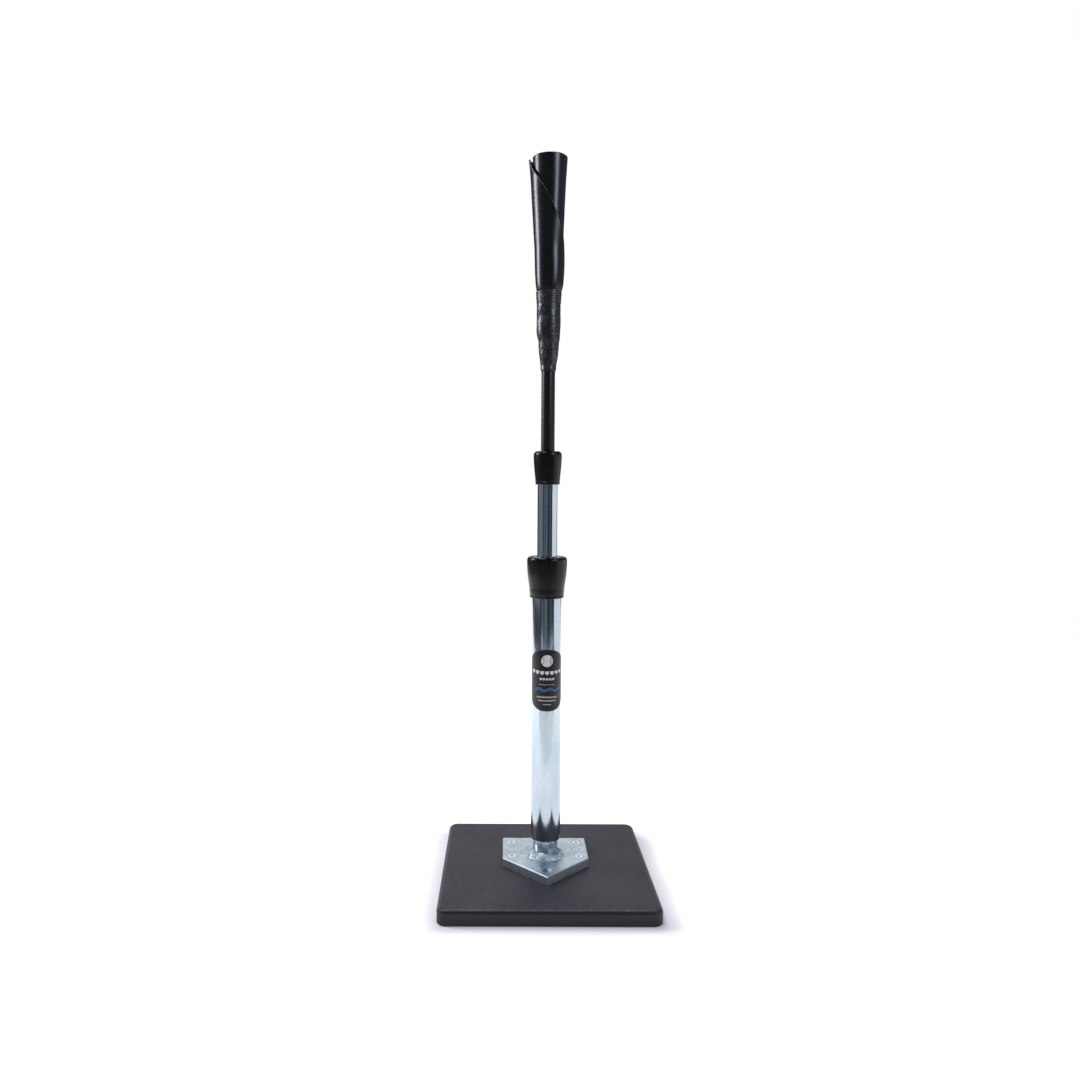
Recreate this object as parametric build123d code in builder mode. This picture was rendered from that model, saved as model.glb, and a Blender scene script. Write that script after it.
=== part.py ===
from build123d import *
import os

# A free-standing batting tee: a heavy square base with a steel home plate bolted on, a zinc-plated
# stem that screws onto a spigot, a thinner tube and a black rod that telescope out of it, and a
# rolled rubber cone on top that holds the ball.
# Millimetres. The origin is on the floor under the stem, +Z is up, the plate's tip points to -Y.

# Base slab and home plate
base_side = 241.3
base_thickness = 16.6
base_corner_r = 11.0
base_edge_r = 4.0
base_foot_chamfer = 1.0
plate_width = 101.6
plate_thickness = 9.5
plate_side_length = 59.5
plate_back_y = 48.3
plate_edge_chamfer = 0.8
plate_top = base_thickness + plate_thickness

# Plate screws, with their washers and nuts sunk into the underside of the slab
screw_spots = [(-39.5, 35), (39.5, 35), (-39.5, -5), (39.5, -5), (0, -45)]
screw_r = 3.0
screw_head_r = 5.8
screw_head_angle = 90
screw_end_z = 0.8
cross_length = 6.0
cross_width = 1.3
cross_depth = 1.8
screw_gap = 0.3
nut_recess_r = 9.0
nut_recess_depth = 7.0
washer_r = 8.0
washer_thickness = 1.2
nut_across_flats = 10.0
nut_height = 4.6

# Spigot, weld and screw thread at the stem's foot
running_gap = 0.05
spigot_r = 14.35
spigot_shoulder_z = 46.0
stud_r = 9.95
stud_top_z = 70.0
weld_foot_r = 22.0
weld_top_z = 33.0
seat_washer_thickness = 0.8
seat_washer_r = 14.0
stem_foot_z = spigot_shoulder_z + seat_washer_thickness
insert_top_z = 76.0

# Telescoping tubes
lower_r = 17.45
lower_bore_r = 15.8
lower_top_z = 377.2
middle_r = 11.9
middle_bore_r = 10.7
middle_foot_z = 186.8
middle_top_z = 502.0
rod_r = 8.1
rod_bore_r = 6.9
rod_foot_z = 305.0
rod_top_z = 688.0

# Label on the lower tube
label_low_z = 200.7
label_high_z = 272.7
label_thickness = 0.2
label_wrap = 192

# Moulded collars, which close over the tube ends
collar_lip = 3.8
lip_gap = 0.4
lower_collar_height = 47.5
lower_collar_foot_r = 20.4
lower_collar_shoulder_r = 23.7
upper_collar_height = 39.5
upper_collar_foot_r = 14.4
upper_collar_shoulder_r = 16.7

# Grip bushes under the collars; guide bushes, stop rings and plugs on the tubes' lower ends
grip_length = 40.0
guide_length = 30.0
guide_end_gap = 0.2
stop_ring_height = 3.0
plug_flange_height = 3.8
plug_depth = 12.0

# Rubber top and its taped neck
hem_low_z = 600.8
neck_low_z = 606.0
neck_high_z = 695.0
cone_rim_z = 854.0
cone_foot_r = 15.0
cone_rim_r = 21.2
cone_wall = 4.0
cone_floor_z = 700.0
hem_r = 9.35
tape_thickness = 1.3
neck_outline = [(9.5, 606), (11.0, 617), (12.4, 635), (12.7, 641), (14.2, 643), (14.2, 677.5), (15.5, 679.5)]

os.makedirs("parts", exist_ok=True)


def export_node(block, node):
    """Label a finished sub-part and write it as its own STEP."""
    block.part.label = node
    export_step(block.part, f"parts/{node}.step")


def sleeve(outer_r, bore_r, low_z, high_z, edge=0.0):
    """A round sleeve about the stem's axis, with its outer end edges broken by edge."""
    with BuildPart() as block:
        with BuildSketch(Plane.XY.offset(low_z)):
            Circle(outer_r)
            Circle(bore_r, mode=Mode.SUBTRACT)
        extrude(amount=high_z - low_z)
        if edge:
            outer_wall = block.faces().filter_by(GeomType.CYLINDER).sort_by(SortBy.AREA)[-1]
            chamfer(outer_wall.edges().filter_by(GeomType.CIRCLE), edge)
    return block


def turned(outline):
    """A closed outline of (radius, height) points turned about the stem's axis."""
    with BuildPart() as block:
        with BuildSketch(Plane.XZ):
            with BuildLine():
                Polyline(*outline, close=True)
            make_face()
        revolve(axis=Axis.Z)
    return block


# --- Base ---------------------------------------------------------------------------------------

# Moulded slab, rounded at its corners and edges, with a recess under each screw.
with BuildPart() as base_slab:
    with BuildSketch():
        RectangleRounded(base_side, base_side, base_corner_r)
    extrude(amount=base_thickness)
    fillet(base_slab.faces().sort_by(Axis.Z)[-1].edges(), base_edge_r)
    chamfer(base_slab.faces().sort_by(Axis.Z)[0].edges(), base_foot_chamfer)
    with BuildSketch():
        with Locations(*screw_spots):
            Circle(nut_recess_r)
    extrude(amount=nut_recess_depth, mode=Mode.SUBTRACT)
    with BuildSketch():
        with Locations(*screw_spots):
            Circle(screw_r + screw_gap)
    extrude(amount=base_thickness, mode=Mode.SUBTRACT)
export_node(base_slab, "base_slab")

# Steel plate in the outline of a home plate: two square corners at the back, a right-angled tip.
with BuildPart() as home_plate:
    half_width = plate_width / 2
    shoulder_y = plate_back_y - plate_side_length
    with BuildSketch(Plane.XY.offset(base_thickness)):
        with BuildLine():
            Polyline(
                (-half_width, plate_back_y),
                (half_width, plate_back_y),
                (half_width, shoulder_y),
                (0, shoulder_y - half_width),
                (-half_width, shoulder_y),
                close=True,
            )
        make_face()
    extrude(amount=plate_thickness)
    chamfer(home_plate.faces().sort_by(Axis.Z)[-1].edges(), plate_edge_chamfer)
    with Locations(*[(x, y, plate_top) for x, y in screw_spots]):
        CounterSinkHole(screw_r + screw_gap, screw_head_r + screw_gap, counter_sink_angle=screw_head_angle)
export_node(home_plate, "home_plate")

# Flat-head cross-recess screws, down through the slab to their nuts.
with BuildPart() as plate_screws:
    head_height = screw_head_r - screw_r
    with BuildSketch(Plane.XY.offset(screw_end_z)):
        with Locations(*screw_spots):
            Circle(screw_r)
    extrude(amount=plate_top - head_height - screw_end_z)
    with Locations(*[(x, y, plate_top - head_height) for x, y in screw_spots]):
        Cone(screw_r, screw_head_r, head_height, align=(Align.CENTER, Align.CENTER, Align.MIN))
    with BuildSketch(Plane.XY.offset(plate_top)):
        with Locations(*screw_spots):
            Rectangle(cross_length, cross_width)
            Rectangle(cross_width, cross_length)
    extrude(amount=-cross_depth, mode=Mode.SUBTRACT)
export_node(plate_screws, "plate_screws")

# Washers against the roof of each recess.
with BuildPart() as plate_washers:
    with BuildSketch(Plane.XY.offset(nut_recess_depth - washer_thickness)):
        with Locations(*screw_spots):
            Circle(washer_r)
            Circle(screw_r + screw_gap, mode=Mode.SUBTRACT)
    extrude(amount=washer_thickness)
export_node(plate_washers, "plate_washers")

# Hexagon nuts under the washers.
with BuildPart() as plate_nuts:
    nut_top_z = nut_recess_depth - washer_thickness
    with BuildSketch(Plane.XY.offset(nut_top_z - nut_height)):
        with Locations(*screw_spots):
            RegularPolygon(nut_across_flats / 2, 6, major_radius=False)
            Circle(screw_r + running_gap, mode=Mode.SUBTRACT)
    extrude(amount=nut_height)
export_node(plate_nuts, "plate_nuts")

# Turned steel spigot: a round boss that the stem stands on, and the stud it screws onto.
with BuildPart() as stem_spigot:
    with BuildSketch(Plane.XY.offset(plate_top)):
        Circle(spigot_r)
    extrude(amount=spigot_shoulder_z - plate_top)
    with BuildSketch(Plane.XY.offset(spigot_shoulder_z)):
        Circle(stud_r)
    extrude(amount=stud_top_z - spigot_shoulder_z)
    chamfer(stem_spigot.faces().sort_by(Axis.Z)[-1].edges(), 1.2)
export_node(stem_spigot, "stem_spigot")

# Fillet weld that joins the spigot's foot to the plate, slightly bulged.
with BuildPart() as weld_bead:
    with BuildSketch(Plane.XZ):
        with BuildLine():
            Line((spigot_r, plate_top), (weld_foot_r, plate_top))
            bulge_r = (spigot_r + weld_foot_r) / 2 + 0.9
            bulge_z = (plate_top + weld_top_z) / 2 + 0.9
            ThreePointArc((weld_foot_r, plate_top), (bulge_r, bulge_z), (spigot_r, weld_top_z))
            Line((spigot_r, weld_top_z), (spigot_r, plate_top))
        make_face()
    revolve(axis=Axis.Z)
export_node(weld_bead, "weld_bead")

# Nylon washer between the spigot's shoulder and the stem's foot. It rises with the stem.
seat_washer = sleeve(seat_washer_r, stud_r + 0.35, spigot_shoulder_z, stem_foot_z)
export_node(seat_washer, "seat_washer")

# --- Stem ---------------------------------------------------------------------------------------

lower_tube = sleeve(lower_r, lower_bore_r, stem_foot_z, lower_top_z, edge=0.5)
export_node(lower_tube, "lower_tube")

# Threaded insert, pressed into the foot of the lower tube.
with BuildPart() as thread_insert:
    with BuildSketch(Plane.XY.offset(stem_foot_z)):
        Circle(lower_bore_r)
        Circle(stud_r + running_gap, mode=Mode.SUBTRACT)
    extrude(amount=insert_top_z - stem_foot_z)
    bore_wall = thread_insert.faces().filter_by(GeomType.CYLINDER).sort_by(SortBy.AREA)[0]
    chamfer(bore_wall.edges().filter_by(GeomType.CIRCLE).sort_by(Axis.Z)[0], 0.8)
export_node(thread_insert, "thread_insert")

# Printed film that wraps a little over half of the tube, centred on the -Y side.
with BuildPart() as stem_label:
    with BuildSketch(Plane.XY.offset(label_low_z)):
        with BuildLine():
            film_start = -90 - label_wrap / 2
            inner_edge = CenterArc((0, 0), lower_r, film_start, label_wrap)
            outer_edge = CenterArc((0, 0), lower_r + label_thickness, film_start, label_wrap)
            Line(inner_edge @ 0, outer_edge @ 0)
            Line(inner_edge @ 1, outer_edge @ 1)
        make_face()
    extrude(amount=label_high_z - label_low_z)
export_node(stem_label, "stem_label")


def collar(tube_r, inner_r, top_z, height, foot_r, shoulder_r):
    """A moulded collar pushed over a tube's end: a straight foot, a swell, and a rounded shoulder
    that closes over the end down to a hole for the next tube."""
    foot_z = top_z - height
    shoulder_drop = 0.14 * height
    with BuildPart() as block:
        with BuildSketch(Plane.XZ):
            with BuildLine():
                Line((tube_r, foot_z), (foot_r, foot_z))
                Line((foot_r, foot_z), (foot_r + 0.2, foot_z + 0.18 * height))
                Spline(
                    (foot_r + 0.2, foot_z + 0.18 * height),
                    (0.65 * shoulder_r + 0.35 * foot_r, foot_z + 0.42 * height),
                    (shoulder_r, top_z - shoulder_drop),
                )
                ThreePointArc(
                    (shoulder_r, top_z - shoulder_drop),
                    (shoulder_r - 0.9, top_z - 0.3 * shoulder_drop),
                    (shoulder_r - 3.4, top_z),
                )
                Polyline(
                    (shoulder_r - 3.4, top_z),
                    (inner_r, top_z),
                    (inner_r, top_z - collar_lip),
                    (tube_r, top_z - collar_lip),
                    (tube_r, foot_z),
                )
            make_face()
        revolve(axis=Axis.Z)
    return block


lower_collar = collar(
    lower_r,
    middle_r + lip_gap,
    lower_top_z + collar_lip,
    lower_collar_height,
    lower_collar_foot_r,
    lower_collar_shoulder_r,
)
export_node(lower_collar, "lower_collar")

lower_grip_bush = sleeve(lower_bore_r, middle_r + running_gap, lower_top_z - grip_length, lower_top_z)
export_node(lower_grip_bush, "lower_grip_bush")

# --- Middle stage -------------------------------------------------------------------------------

middle_tube = sleeve(middle_r, middle_bore_r, middle_foot_z, middle_top_z, edge=0.4)
export_node(middle_tube, "middle_tube")


def end_plug(flange_r, tube_bore_r, tube_foot_z):
    """A plug pressed into a tube's lower end, with a flange that keeps the guide bush on."""
    with BuildPart() as block:
        with BuildSketch(Plane.XY.offset(tube_foot_z - plug_flange_height)):
            Circle(flange_r)
        extrude(amount=plug_flange_height)
        with BuildSketch(Plane.XY.offset(tube_foot_z)):
            Circle(tube_bore_r)
        extrude(amount=plug_depth)
        chamfer(block.faces().sort_by(Axis.Z)[0].edges(), 0.8)
    return block


middle_guide_foot_z = middle_foot_z + guide_end_gap
middle_guide_top_z = middle_guide_foot_z + guide_length
middle_ring_z = middle_guide_top_z + guide_end_gap
middle_guide_bush = sleeve(
    lower_bore_r - running_gap, middle_r + running_gap, middle_guide_foot_z, middle_guide_top_z, edge=0.6
)
export_node(middle_guide_bush, "middle_guide_bush")

middle_stop_ring = sleeve(middle_r + 2.2, middle_r, middle_ring_z, middle_ring_z + stop_ring_height, edge=0.4)
export_node(middle_stop_ring, "middle_stop_ring")

middle_end_plug = end_plug(middle_r + 2.2, middle_bore_r, middle_foot_z)
export_node(middle_end_plug, "middle_end_plug")

upper_collar = collar(
    middle_r,
    rod_r + lip_gap,
    middle_top_z + collar_lip,
    upper_collar_height,
    upper_collar_foot_r,
    upper_collar_shoulder_r,
)
export_node(upper_collar, "upper_collar")

upper_grip_bush = sleeve(middle_bore_r, rod_r + running_gap, middle_top_z - grip_length, middle_top_z)
export_node(upper_grip_bush, "upper_grip_bush")

# --- Top stage ----------------------------------------------------------------------------------

top_rod = sleeve(rod_r, rod_bore_r, rod_foot_z, rod_top_z, edge=0.3)
export_node(top_rod, "top_rod")

rod_guide_foot_z = rod_foot_z + guide_end_gap
rod_guide_top_z = rod_guide_foot_z + guide_length
rod_ring_z = rod_guide_top_z + guide_end_gap
rod_guide_bush = sleeve(
    middle_bore_r - running_gap, rod_r + running_gap, rod_guide_foot_z, rod_guide_top_z, edge=0.5
)
export_node(rod_guide_bush, "rod_guide_bush")

rod_stop_ring = sleeve(rod_r + 1.6, rod_r, rod_ring_z, rod_ring_z + stop_ring_height, edge=0.3)
export_node(rod_stop_ring, "rod_stop_ring")

rod_end_plug = end_plug(rod_r + 1.6, rod_bore_r, rod_foot_z)
export_node(rod_end_plug, "rod_end_plug")

# Cap in the rod's upper end, the floor that the rubber is rolled over.
with BuildPart() as rod_top_cap:
    with BuildSketch(Plane.XY.offset(rod_top_z)):
        Circle(rod_r + 1.2)
    extrude(amount=3.0)
    with BuildSketch(Plane.XY.offset(rod_top_z)):
        Circle(rod_bore_r)
    extrude(amount=-plug_depth)
export_node(rod_top_cap, "rod_top_cap")

# Rubber sheet rolled around the rod's end and opening upwards into a cone.
tape_bore = [(r - tape_thickness, z) for r, z in neck_outline]
flex_top = turned(
    [(rod_r, neck_low_z)]
    + tape_bore
    + [
        (tape_bore[-1][0], neck_high_z),
        (cone_foot_r, neck_high_z + 1.0),
        (cone_rim_r, cone_rim_z),
        (cone_rim_r - cone_wall, cone_rim_z),
        (cone_foot_r - cone_wall, cone_floor_z),
        (0, cone_floor_z),
        (0, rod_top_z + 3.0),
        (rod_r + 1.2, rod_top_z + 3.0),
        (rod_r + 1.2, rod_top_z),
        (rod_r, rod_top_z),
    ]
)
export_node(flex_top, "flex_top")

# Tape wound over the rubber's neck, thicker where it ends in a ridge under the cone.
neck_tape = turned(
    neck_outline + [(neck_outline[-1][0], neck_high_z)] + [(tape_bore[-1][0], neck_high_z)] + tape_bore[::-1]
)
export_node(neck_tape, "neck_tape")

# Last turn of the tape, drawn down onto the rod.
neck_hem = sleeve(hem_r, rod_r, hem_low_z, neck_low_z, edge=0.4)
export_node(neck_hem, "neck_hem")
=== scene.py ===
import math
import random
import bmesh
import bpy
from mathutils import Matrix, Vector, noise


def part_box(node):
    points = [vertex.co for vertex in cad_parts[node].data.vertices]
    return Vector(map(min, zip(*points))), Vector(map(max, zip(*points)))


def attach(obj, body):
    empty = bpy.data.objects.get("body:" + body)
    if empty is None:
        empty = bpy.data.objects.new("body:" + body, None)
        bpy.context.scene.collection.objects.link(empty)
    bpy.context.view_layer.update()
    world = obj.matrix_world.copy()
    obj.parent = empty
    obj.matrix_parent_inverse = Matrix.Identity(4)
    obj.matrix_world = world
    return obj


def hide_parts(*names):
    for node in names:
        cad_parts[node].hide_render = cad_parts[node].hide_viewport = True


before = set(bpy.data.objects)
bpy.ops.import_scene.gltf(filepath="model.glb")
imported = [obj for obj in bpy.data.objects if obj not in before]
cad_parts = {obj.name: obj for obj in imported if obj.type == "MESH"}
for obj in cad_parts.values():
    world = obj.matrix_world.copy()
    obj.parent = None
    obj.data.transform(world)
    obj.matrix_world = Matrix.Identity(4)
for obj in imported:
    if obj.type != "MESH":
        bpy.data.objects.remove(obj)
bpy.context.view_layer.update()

mm = 0.001


# --- Base slab -----------------------------------------------------------------------------------
# A heavy square of black rubber, compression moulded in one piece with rounded corners and edges.
# Its top has a fine pebbled skin and its sides are plain; its top edges are painted paler, partly as worn
# patches and partly as a painted highlight.

def tone(red, green, blue):
    """A colour from 0-255 display values, as the linear colour that a shader takes."""
    return tuple((v / 255 / 12.92 if v <= 10 else ((v / 255 + 0.055) / 1.055) ** 2.4)
                 for v in (red, green, blue)) + (1.0,)


class Wire:
    """An output socket in a finish. Arithmetic on wires adds the Math nodes that work it out."""

    def __init__(self, finish, socket):
        self.finish = finish
        self.socket = socket

    def maths(self, operation, *values):
        return self.finish.node("ShaderNodeMath", {"operation": operation}, dict(enumerate(values)))

    def __add__(self, other):
        return self.maths("ADD", self, other)

    def __sub__(self, other):
        return self.maths("SUBTRACT", self, other)

    def __rsub__(self, other):
        return self.maths("SUBTRACT", other, self)

    def __mul__(self, other):
        return self.maths("MULTIPLY", self, other)

    def __pow__(self, other):
        return self.maths("POWER", self, other)

    def __abs__(self):
        return self.maths("ABSOLUTE", self)

    __radd__ = __add__
    __rmul__ = __mul__

    def least(self, other):
        return self.maths("MINIMUM", self, other)

    def most(self, other):
        return self.maths("MAXIMUM", self, other)

    def rise(self, start, end):
        """0 below start, 1 above end and a smooth step between them; start may be the larger."""
        settings = {"interpolation_type": "SMOOTHSTEP"}
        if start < end:
            return self.finish.node("ShaderNodeMapRange", settings, {0: self, 1: start, 2: end})
        return 1 - self.rise(end, start)


class Finish:
    """A material under construction: a Principled shader, and the nodes that feed it."""

    def __init__(self, name, constants):
        self.material = bpy.data.materials.new(name)
        self.material.use_nodes = True
        self.tree = self.material.node_tree
        self.shader = self.tree.nodes["Principled BSDF"]
        for socket, value in constants.items():
            self.shader.inputs[socket].default_value = value
        self.place = self.node("ShaderNodeTexCoord", output="Object")

    def node(self, kind, settings=None, inputs=None, output=0):
        """Add a node. Its settings are set first, then the values or wires of its inputs."""
        made = self.tree.nodes.new(kind)
        for name, value in (settings or {}).items():
            setattr(made, name, value)
        for key, value in (inputs or {}).items():
            if isinstance(value, Wire):
                self.tree.links.new(value.socket, made.inputs[key])
            else:
                made.inputs[key].default_value = value
        return Wire(self, made.outputs[output])

    def stretched(self, x, y, z):
        """The piece's own coordinates, scaled along each axis."""
        inputs = {0: self.place, 1: (x, y, z)}
        return self.node("ShaderNodeVectorMath", {"operation": "MULTIPLY"}, inputs)

    def axis(self, letter):
        return self.node("ShaderNodeSeparateXYZ", None, {0: self.place}, output=letter)

    def cloud(self, size, detail=3.0, roughness=0.55, where=None, warp=0.0):
        """Noise from 0 to 1 whose patches are about size metres across."""
        inputs = {"Vector": where or self.place, "Scale": 1 / size, "Detail": detail,
                  "Roughness": roughness, "Distortion": warp}
        return self.node("ShaderNodeTexNoise", None, inputs)

    def mix(self, mask, low, high):
        """The colour low where mask is 0, high where it is 1."""
        return self.node("ShaderNodeMix", {"data_type": "RGBA"}, {0: mask, 6: low, 7: high}, output=2)

    def feed(self, socket, wire):
        self.tree.links.new(wire.socket, self.shader.inputs[socket])

    def relief(self, height, depth):
        """Raise the surface by depth metres where height is 1."""
        inputs = {"Height": height, "Distance": depth, "Strength": 1.0}
        self.feed("Normal", self.node("ShaderNodeBump", None, inputs, output="Normal"))


def dress(finish, *names):
    """Give CAD nodes a finish."""
    for name in names:
        for material_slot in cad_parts[name].material_slots:
            material_slot.material = finish.material


slab_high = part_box("base_slab")[1]
slab_half = slab_high.x
pebbled = Finish("pebbled_rubber", {"IOR": 1.5, "Specular IOR Level": 0.45})
skin = pebbled.axis("Z").rise(slab_high.z - 1.2 * mm, slab_high.z - 0.2 * mm)
pebble_cells = {"Vector": pebbled.place, "Scale": 1 / (1.5 * mm), "Smoothness": 0.6}
pebble = pebbled.node("ShaderNodeTexVoronoi", {"feature": "SMOOTH_F1"}, pebble_cells, output="Distance")
grain = pebbled.cloud(0.35 * mm, detail=4.0)
swell = pebbled.cloud(60 * mm, detail=2.0)
scuffs = pebbled.cloud(3 * mm, detail=5.0, where=pebbled.stretched(1.0, 0.12, 1.0), warp=0.6).rise(0.62, 0.78)
side_distance = abs(pebbled.axis("X")).most(abs(pebbled.axis("Y")))
top_edge = side_distance.rise(slab_half - 5 * mm, slab_half - 2.5 * mm) * skin
worn_and_highlit_edge = top_edge * pebbled.cloud(9 * mm).rise(0.40, 0.66)
mottle = pebbled.cloud(2.6 * mm, detail=5.0, roughness=0.7)
dust = pebbled.mix(swell.rise(0.35, 0.65), tone(36, 33, 43), tone(48, 45, 55))
dust = pebbled.mix(mottle.rise(0.38, 0.64) * 0.6, dust, tone(68, 65, 76))
dust = pebbled.mix((1 - pebble) * 0.25, dust, tone(24, 22, 29))
body = pebbled.mix(skin, tone(17, 15, 22), dust)
body = pebbled.mix(scuffs * 0.35, body, tone(88, 86, 92))
# Painted highlight: the top edges are lightened all along, and more in worn patches, for the light line that
# the rounded edge catches.
pebbled.feed("Base Color", pebbled.mix(worn_and_highlit_edge * 0.35 + top_edge * 0.3, body, tone(98, 95, 107)))
pebbled.feed("Roughness", 0.56 + 0.14 * pebbled.cloud(1.1 * mm) - 0.20 * top_edge - 0.16 * (1 - skin))
pebbled.relief((0.08 + 0.92 * skin) * (1 - pebble) * 0.8 + grain * 0.2, 0.4 * mm)
dress(pebbled, "base_slab")


# --- Home plate ----------------------------------------------------------------------------------
# Flat steel bar, sawn to the outline of a home plate, its top edge broken with a small chamfer,
# then zinc plated. The plating leaves cloudy patches and the saw marks still show on the sides.

plate_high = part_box("home_plate")[1]
zinc_plate = Finish("zinc_plated_bar", {"Metallic": 1.0})
clouds = zinc_plate.cloud(14 * mm, detail=5.0, warp=0.8)
spangle_cells = {"Vector": zinc_plate.place, "Scale": 1 / (2.2 * mm)}
spangle = zinc_plate.node("ShaderNodeTexVoronoi", {"feature": "F1"}, spangle_cells, output="Color")
speckle = zinc_plate.node("ShaderNodeSeparateColor", None, {0: spangle})
saw_marks = zinc_plate.cloud(0.5 * mm, where=zinc_plate.stretched(0.12, 0.12, 1.0))
top_face = zinc_plate.axis("Z").rise(plate_high.z - 1.0 * mm, plate_high.z - 0.3 * mm)
flat = zinc_plate.mix(clouds.rise(0.3, 0.7), tone(158, 170, 179), tone(188, 197, 204))
flat = zinc_plate.mix(speckle.rise(0.55, 0.9) * 0.5, flat, tone(205, 210, 216))
plate_x = zinc_plate.axis("X")
plate_y = zinc_plate.axis("Y")
heat = ((plate_x * plate_x + plate_y * plate_y) ** 0.5).rise(38 * mm, 21 * mm)
heat_patches = heat * zinc_plate.cloud(5 * mm, detail=5.0, warp=0.6).rise(0.42, 0.60)
flat = zinc_plate.mix(heat_patches * 0.75, flat, tone(128, 160, 170))
bright_specks = heat * zinc_plate.cloud(1.3 * mm, detail=3.0).rise(0.58, 0.68)
flat = zinc_plate.mix(bright_specks, flat, tone(226, 234, 236))
cut = zinc_plate.mix(saw_marks.rise(0.35, 0.65), tone(140, 145, 153), tone(178, 183, 189))
zinc_plate.feed("Base Color", zinc_plate.mix(top_face, cut, flat))
zinc_plate.feed("Roughness", 0.36 + 0.10 * clouds + 0.12 * speckle + 0.10 * (1 - top_face))
zinc_plate.relief(0.5 * clouds + 0.5 * speckle + 0.5 * heat_patches + (1 - top_face) * saw_marks, 0.12 * mm)
dress(zinc_plate, "home_plate")


# --- Plate screws, washers and nuts --------------------------------------------------------------
# Five flat-head cross-recess machine screws hold the plate down. Their washers and nuts sit in
# recesses under the slab. All are bright zinc, with painted shade in the driver recesses and round the heads.

bright_zinc = Finish("bright_zinc_fasteners", {"Metallic": 1.0})
head_x = abs(bright_zinc.axis("X"))
head_y = bright_zinc.axis("Y")
head_r = 5.8
screw_spots = ((39.5, 35), (39.5, -5), (0, -45))
# How far a point is from the nearest screw's middle; the loop brings it down from a metre.
screw_distance = 1.0
for spot_x, spot_y in screw_spots:
    off_x = head_x - spot_x * mm
    off_y = head_y - spot_y * mm
    screw_distance = ((off_x * off_x + off_y * off_y) ** 0.5).least(screw_distance)
# Painted shade: a patchy dark ring round each head's rim, and darkening below the plate's top, in the driver
# recesses and on the hidden washers and nuts.
head_rim = screw_distance.rise((head_r - 1.0) * mm, (head_r - 0.3) * mm)
painted_rim_shade = head_rim * bright_zinc.cloud(2.5 * mm).rise(0.32, 0.5)
painted_recess_shade = bright_zinc.axis("Z").rise(plate_high.z - 0.2 * mm, plate_high.z - 0.9 * mm)
painted_screw_shade = painted_rim_shade.most(painted_recess_shade)
tumbled = bright_zinc.cloud(0.7 * mm, detail=4.0)
bright_zinc.feed("Base Color", bright_zinc.mix(painted_screw_shade * 0.8, tone(232, 238, 242), tone(62, 70, 80)))
bright_zinc.feed("Roughness", 0.16 + 0.18 * tumbled + 0.2 * painted_screw_shade)
bright_zinc.relief(tumbled, 0.06 * mm)
dress(bright_zinc, "plate_screws", "plate_washers", "plate_nuts", "middle_stop_ring", "rod_stop_ring")


# --- Spigot --------------------------------------------------------------------------------------
# A steel boss turned on a lathe, with a threaded stud on top for the stem to screw onto. Fine
# rings from the tool show on the boss through the zinc, which the weld's heat has tinted blue.

def eased(corners):
    """The outline through (radius, height, ease) corners in millimetres, each rounded by its ease."""
    outline = []
    steps = 5
    for before, here, after in zip(corners[-1:] + corners[:-1], corners, corners[1:] + corners[:1]):
        corner = Vector(here[:2])
        if not here[2]:
            outline.append(corner)
            continue
        start = corner + (Vector(before[:2]) - corner).normalized() * here[2]
        end = corner + (Vector(after[:2]) - corner).normalized() * here[2]
        for step in range(steps + 1):
            t = step / steps
            outline.append(start.lerp(corner, t).lerp(corner.lerp(end, t), t))
    return outline


def finished(name, shape, crease=35):
    """Turn a bmesh into a piece: normals outward, smooth but for edges sharper than crease degrees."""
    bmesh.ops.remove_doubles(shape, verts=shape.verts, dist=0.002 * mm)
    bmesh.ops.recalc_face_normals(shape, faces=shape.faces)
    mesh = bpy.data.meshes.new(name)
    shape.to_mesh(mesh)
    shape.free()
    mesh.polygons.foreach_set("use_smooth", [True] * len(mesh.polygons))
    mesh.set_sharp_from_angle(angle=math.radians(crease))
    piece = bpy.data.objects.new(name, mesh)
    bpy.context.scene.collection.objects.link(piece)
    return piece


def skinned(rings, end_to_end=True):
    """A bmesh of faces between rings of points in millimetres; end_to_end joins the last to the first."""
    shape = bmesh.new()
    rows = [[shape.verts.new(Vector(point) * mm) for point in ring] for ring in rings]
    following = rows[1:] + (rows[:1] if end_to_end else [])
    for row, after in zip(rows, following):
        count = len(row)
        for i in range(count):
            j = (i + 1) % count
            shape.faces.new((row[i], row[j], after[j], after[i]))
    return shape


def round_turns(count):
    """Angles spaced evenly round one turn, the first at 0."""
    return [math.tau * i / count for i in range(count)]


def turned(name, corners, sides=160, swell=None):
    """A piece turned about the stem's axis from an outline. swell(angle, height) adds radius."""
    rings = []
    for point in eased(corners):
        ring = []
        for angle in round_turns(sides):
            radius = point.x + (swell(angle, point.y) if swell and point.x > 0 else 0)
            ring.append((radius * math.sin(angle), -radius * math.cos(angle), point.y))
        rings.append(ring)
    return finished(name, skinned(rings))


def fit(piece, body, finish, slot, *stands_for):
    """Give a piece its finish and its body, and hide the CAD nodes that it stands for; slot is not used."""
    piece.data.materials.append(finish.material)
    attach(piece, body)
    if stands_for:
        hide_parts(*stands_for)


def span(node):
    """Outside radius, lowest height and highest height of a round CAD node, in millimetres."""
    low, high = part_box(node)
    return high.x / mm, low.z / mm, high.z / mm


boss_r, boss_foot, stud_top = span("stem_spigot")
boss_top = span("seat_washer")[1]
stud_r = 9.95
stud_root = boss_top - 2.0
thread_depth = 1.1
thread_pitch = 2.0


def thread(height, angle):
    """Radius of the stud's surface: a V thread with flattened crests, fading in at both ends."""
    turn = ((height - boss_top) / thread_pitch - angle / math.tau) % 1.0
    groove = 1 - min(1.0, abs(turn - 0.5) * 2.6)
    fade = min(1.0, (height - boss_top) / 1.5, (stud_top - height) / 1.0)
    return stud_r - thread_depth * groove * max(0.0, fade)


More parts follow.
